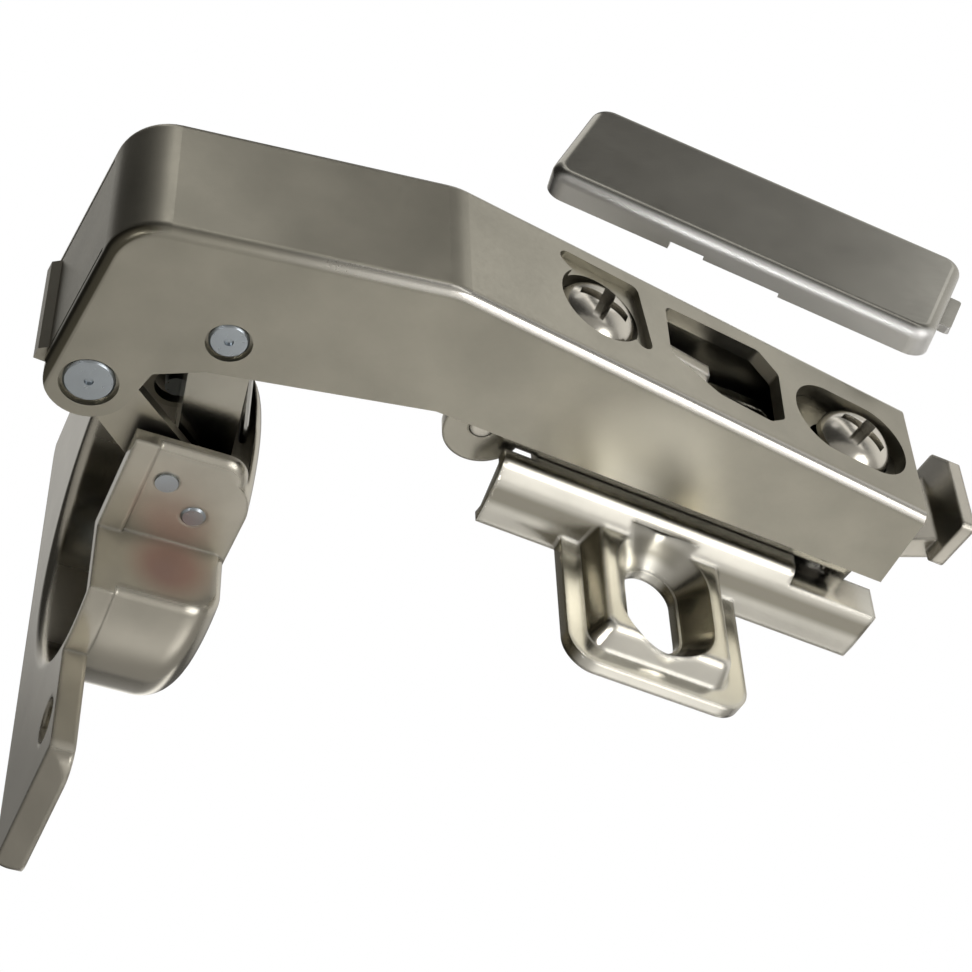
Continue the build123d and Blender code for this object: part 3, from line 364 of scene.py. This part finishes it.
# Painted shade: the side edges of the nose's front are painted nearly black.
tint(arm_nickel, shaded_nose_edges, NOSE_EDGE_SHADE_COLOUR)
set_roughness(arm_nickel, worn_and_highlit, WORN_ROUGHNESS)
dress(arm_nickel, "hinge_arm")

# cover_cap: thin cap, pressed, brushed along its length and plated; it pushes onto the arm's back.
# Its top is a darker brushed grey, and its near side is painted bright as painted light and is more matt. It
# is shown taken off.
NEAR_SIDE_TURN = (-0.20, -0.65)
NEAR_SIDE_LIGHT_COLOUR = (0.98, 0.98, 0.98)
NEAR_SIDE_ROUGHNESS = 0.50
cap_nickel = finish("cap_nickel", colour=(0.47, 0.46, 0.42), roughness=0.22, relief=0.008, brushed_along="X")
lit_near_side = facing(cap_nickel, "Z", NEAR_SIDE_TURN)
# Painted light: the near side, which faces down, is painted almost white.
tint(cap_nickel, lit_near_side, NEAR_SIDE_LIGHT_COLOUR)
set_roughness(cap_nickel, lit_near_side, NEAR_SIDE_ROUGHNESS)
dress(cap_nickel, "cover_cap")

# hinge_cup: steel cup, deep drawn with its flange, ears and flat lugs, and screwed to the door by its ears.
# Its bright nickel plating carries a painted dark reddish reflection on the shoulder below the near lug, and
# is less glossy on the lug walls that face down and on the creased walls.
REFLECTION_MIDDLE = (-0.0415, 0.0176, -0.0118)
REFLECTION_SPAN = (0.0052, 0.0016)
REFLECTION_TURN = (-0.6, -0.9)
REFLECTION_COLOUR = (0.50, 0.34, 0.30)
LUG_WALL = (-0.0096, -0.0090)
SQUARE_ON = (-0.90, -0.98)
WALL_ROUGHNESS = 0.40
cup_nickel = finish(
    "cup_nickel", colour=(0.66, 0.63, 0.555), roughness=0.16, relief=0.01, recess=0.05, edge=0.0006,
)
reddish_reflection = product(cup_nickel, near_to(cup_nickel, REFLECTION_MIDDLE, REFLECTION_SPAN), facing(cup_nickel, "Y", REFLECTION_TURN))
# Painted reflection: a dark reddish patch is painted on the shoulder below the near lug.
tint(cup_nickel, reddish_reflection, REFLECTION_COLOUR)
set_roughness(cup_nickel, facing(cup_nickel, "Y", SQUARE_ON), WALL_ROUGHNESS)
lug_wall = product(cup_nickel, lying(cup_nickel, "Z", LUG_WALL), facing(cup_nickel, "Z", SQUARE_ON))
set_roughness(cup_nickel, lug_wall, WALL_ROUGHNESS)
dress(cup_nickel, "hinge_cup")

# inner_link and outer_link: the two links of the hinge, pressed from steel sheet and nickel plated.
# The inner one is a narrow channel on the smaller rivet, the outer one a wide fork on the larger rivet.
inner_link_nickel = finish("inner_link_nickel", colour=(0.50, 0.48, 0.42), roughness=0.20, recess=0.1)
outer_link_nickel = finish("outer_link_nickel", colour=(0.56, 0.535, 0.46), roughness=0.35)
dress(inner_link_nickel, "inner_link")
dress(outer_link_nickel, "outer_link")

# outer_link_rivet, inner_link_rivet, cup_outer_pins and cup_inner_pin: turned steel, bluish zinc plated.
# Their ends are pressed over, each rivet head has a small dimple, and the links turn on them.
rivet_zinc = finish("rivet_zinc", colour=(0.50, 0.55, 0.60), roughness=0.3, recess=0.6)
dress(rivet_zinc, "outer_link_rivet", "inner_link_rivet", "cup_outer_pins", "cup_inner_pin")

# side_adjust_screw, depth_lock_screw and lock_nut: turned steel with a bright nickel plating.
# The two cross-head screws sit in the wells on the arm's back, the nut inside the channel.
screw_nickel = finish("screw_nickel", colour=(0.82, 0.79, 0.72), roughness=0.22, recess=0.4)
dress(screw_nickel, "side_adjust_screw", "depth_lock_screw", "lock_nut")

# release_lever, lever_pin and front_hook_pin: the lever is pressed from steel sheet, the two pins are turned.
# All three are nickel plated; the lever turns on its pin and hooks under the rear of the plate's rail.
lever_nickel = finish("lever_nickel", colour=(0.72, 0.69, 0.62), roughness=0.24, edge=0.0005)
dress(lever_nickel, "release_lever", "lever_pin", "front_hook_pin")

# closing_spring and lever_spring: wound from bright hardened steel wire.
# The closing spring's coil sits on its bush, with one leg down the inner link; the other is on the lever pin.
spring_wire = finish("spring_wire", colour=(0.70, 0.70, 0.68), roughness=0.2)
dress(spring_wire, "closing_spring", "lever_spring")

# spring_bush: moulded nylon bush, off white and matt.
# It sits on the smaller rivet and carries the closing spring's coil.
nylon = finish("nylon", colour=(0.80, 0.78, 0.70), roughness=0.5, metallic=0.0)
dress(nylon, "spring_bush")
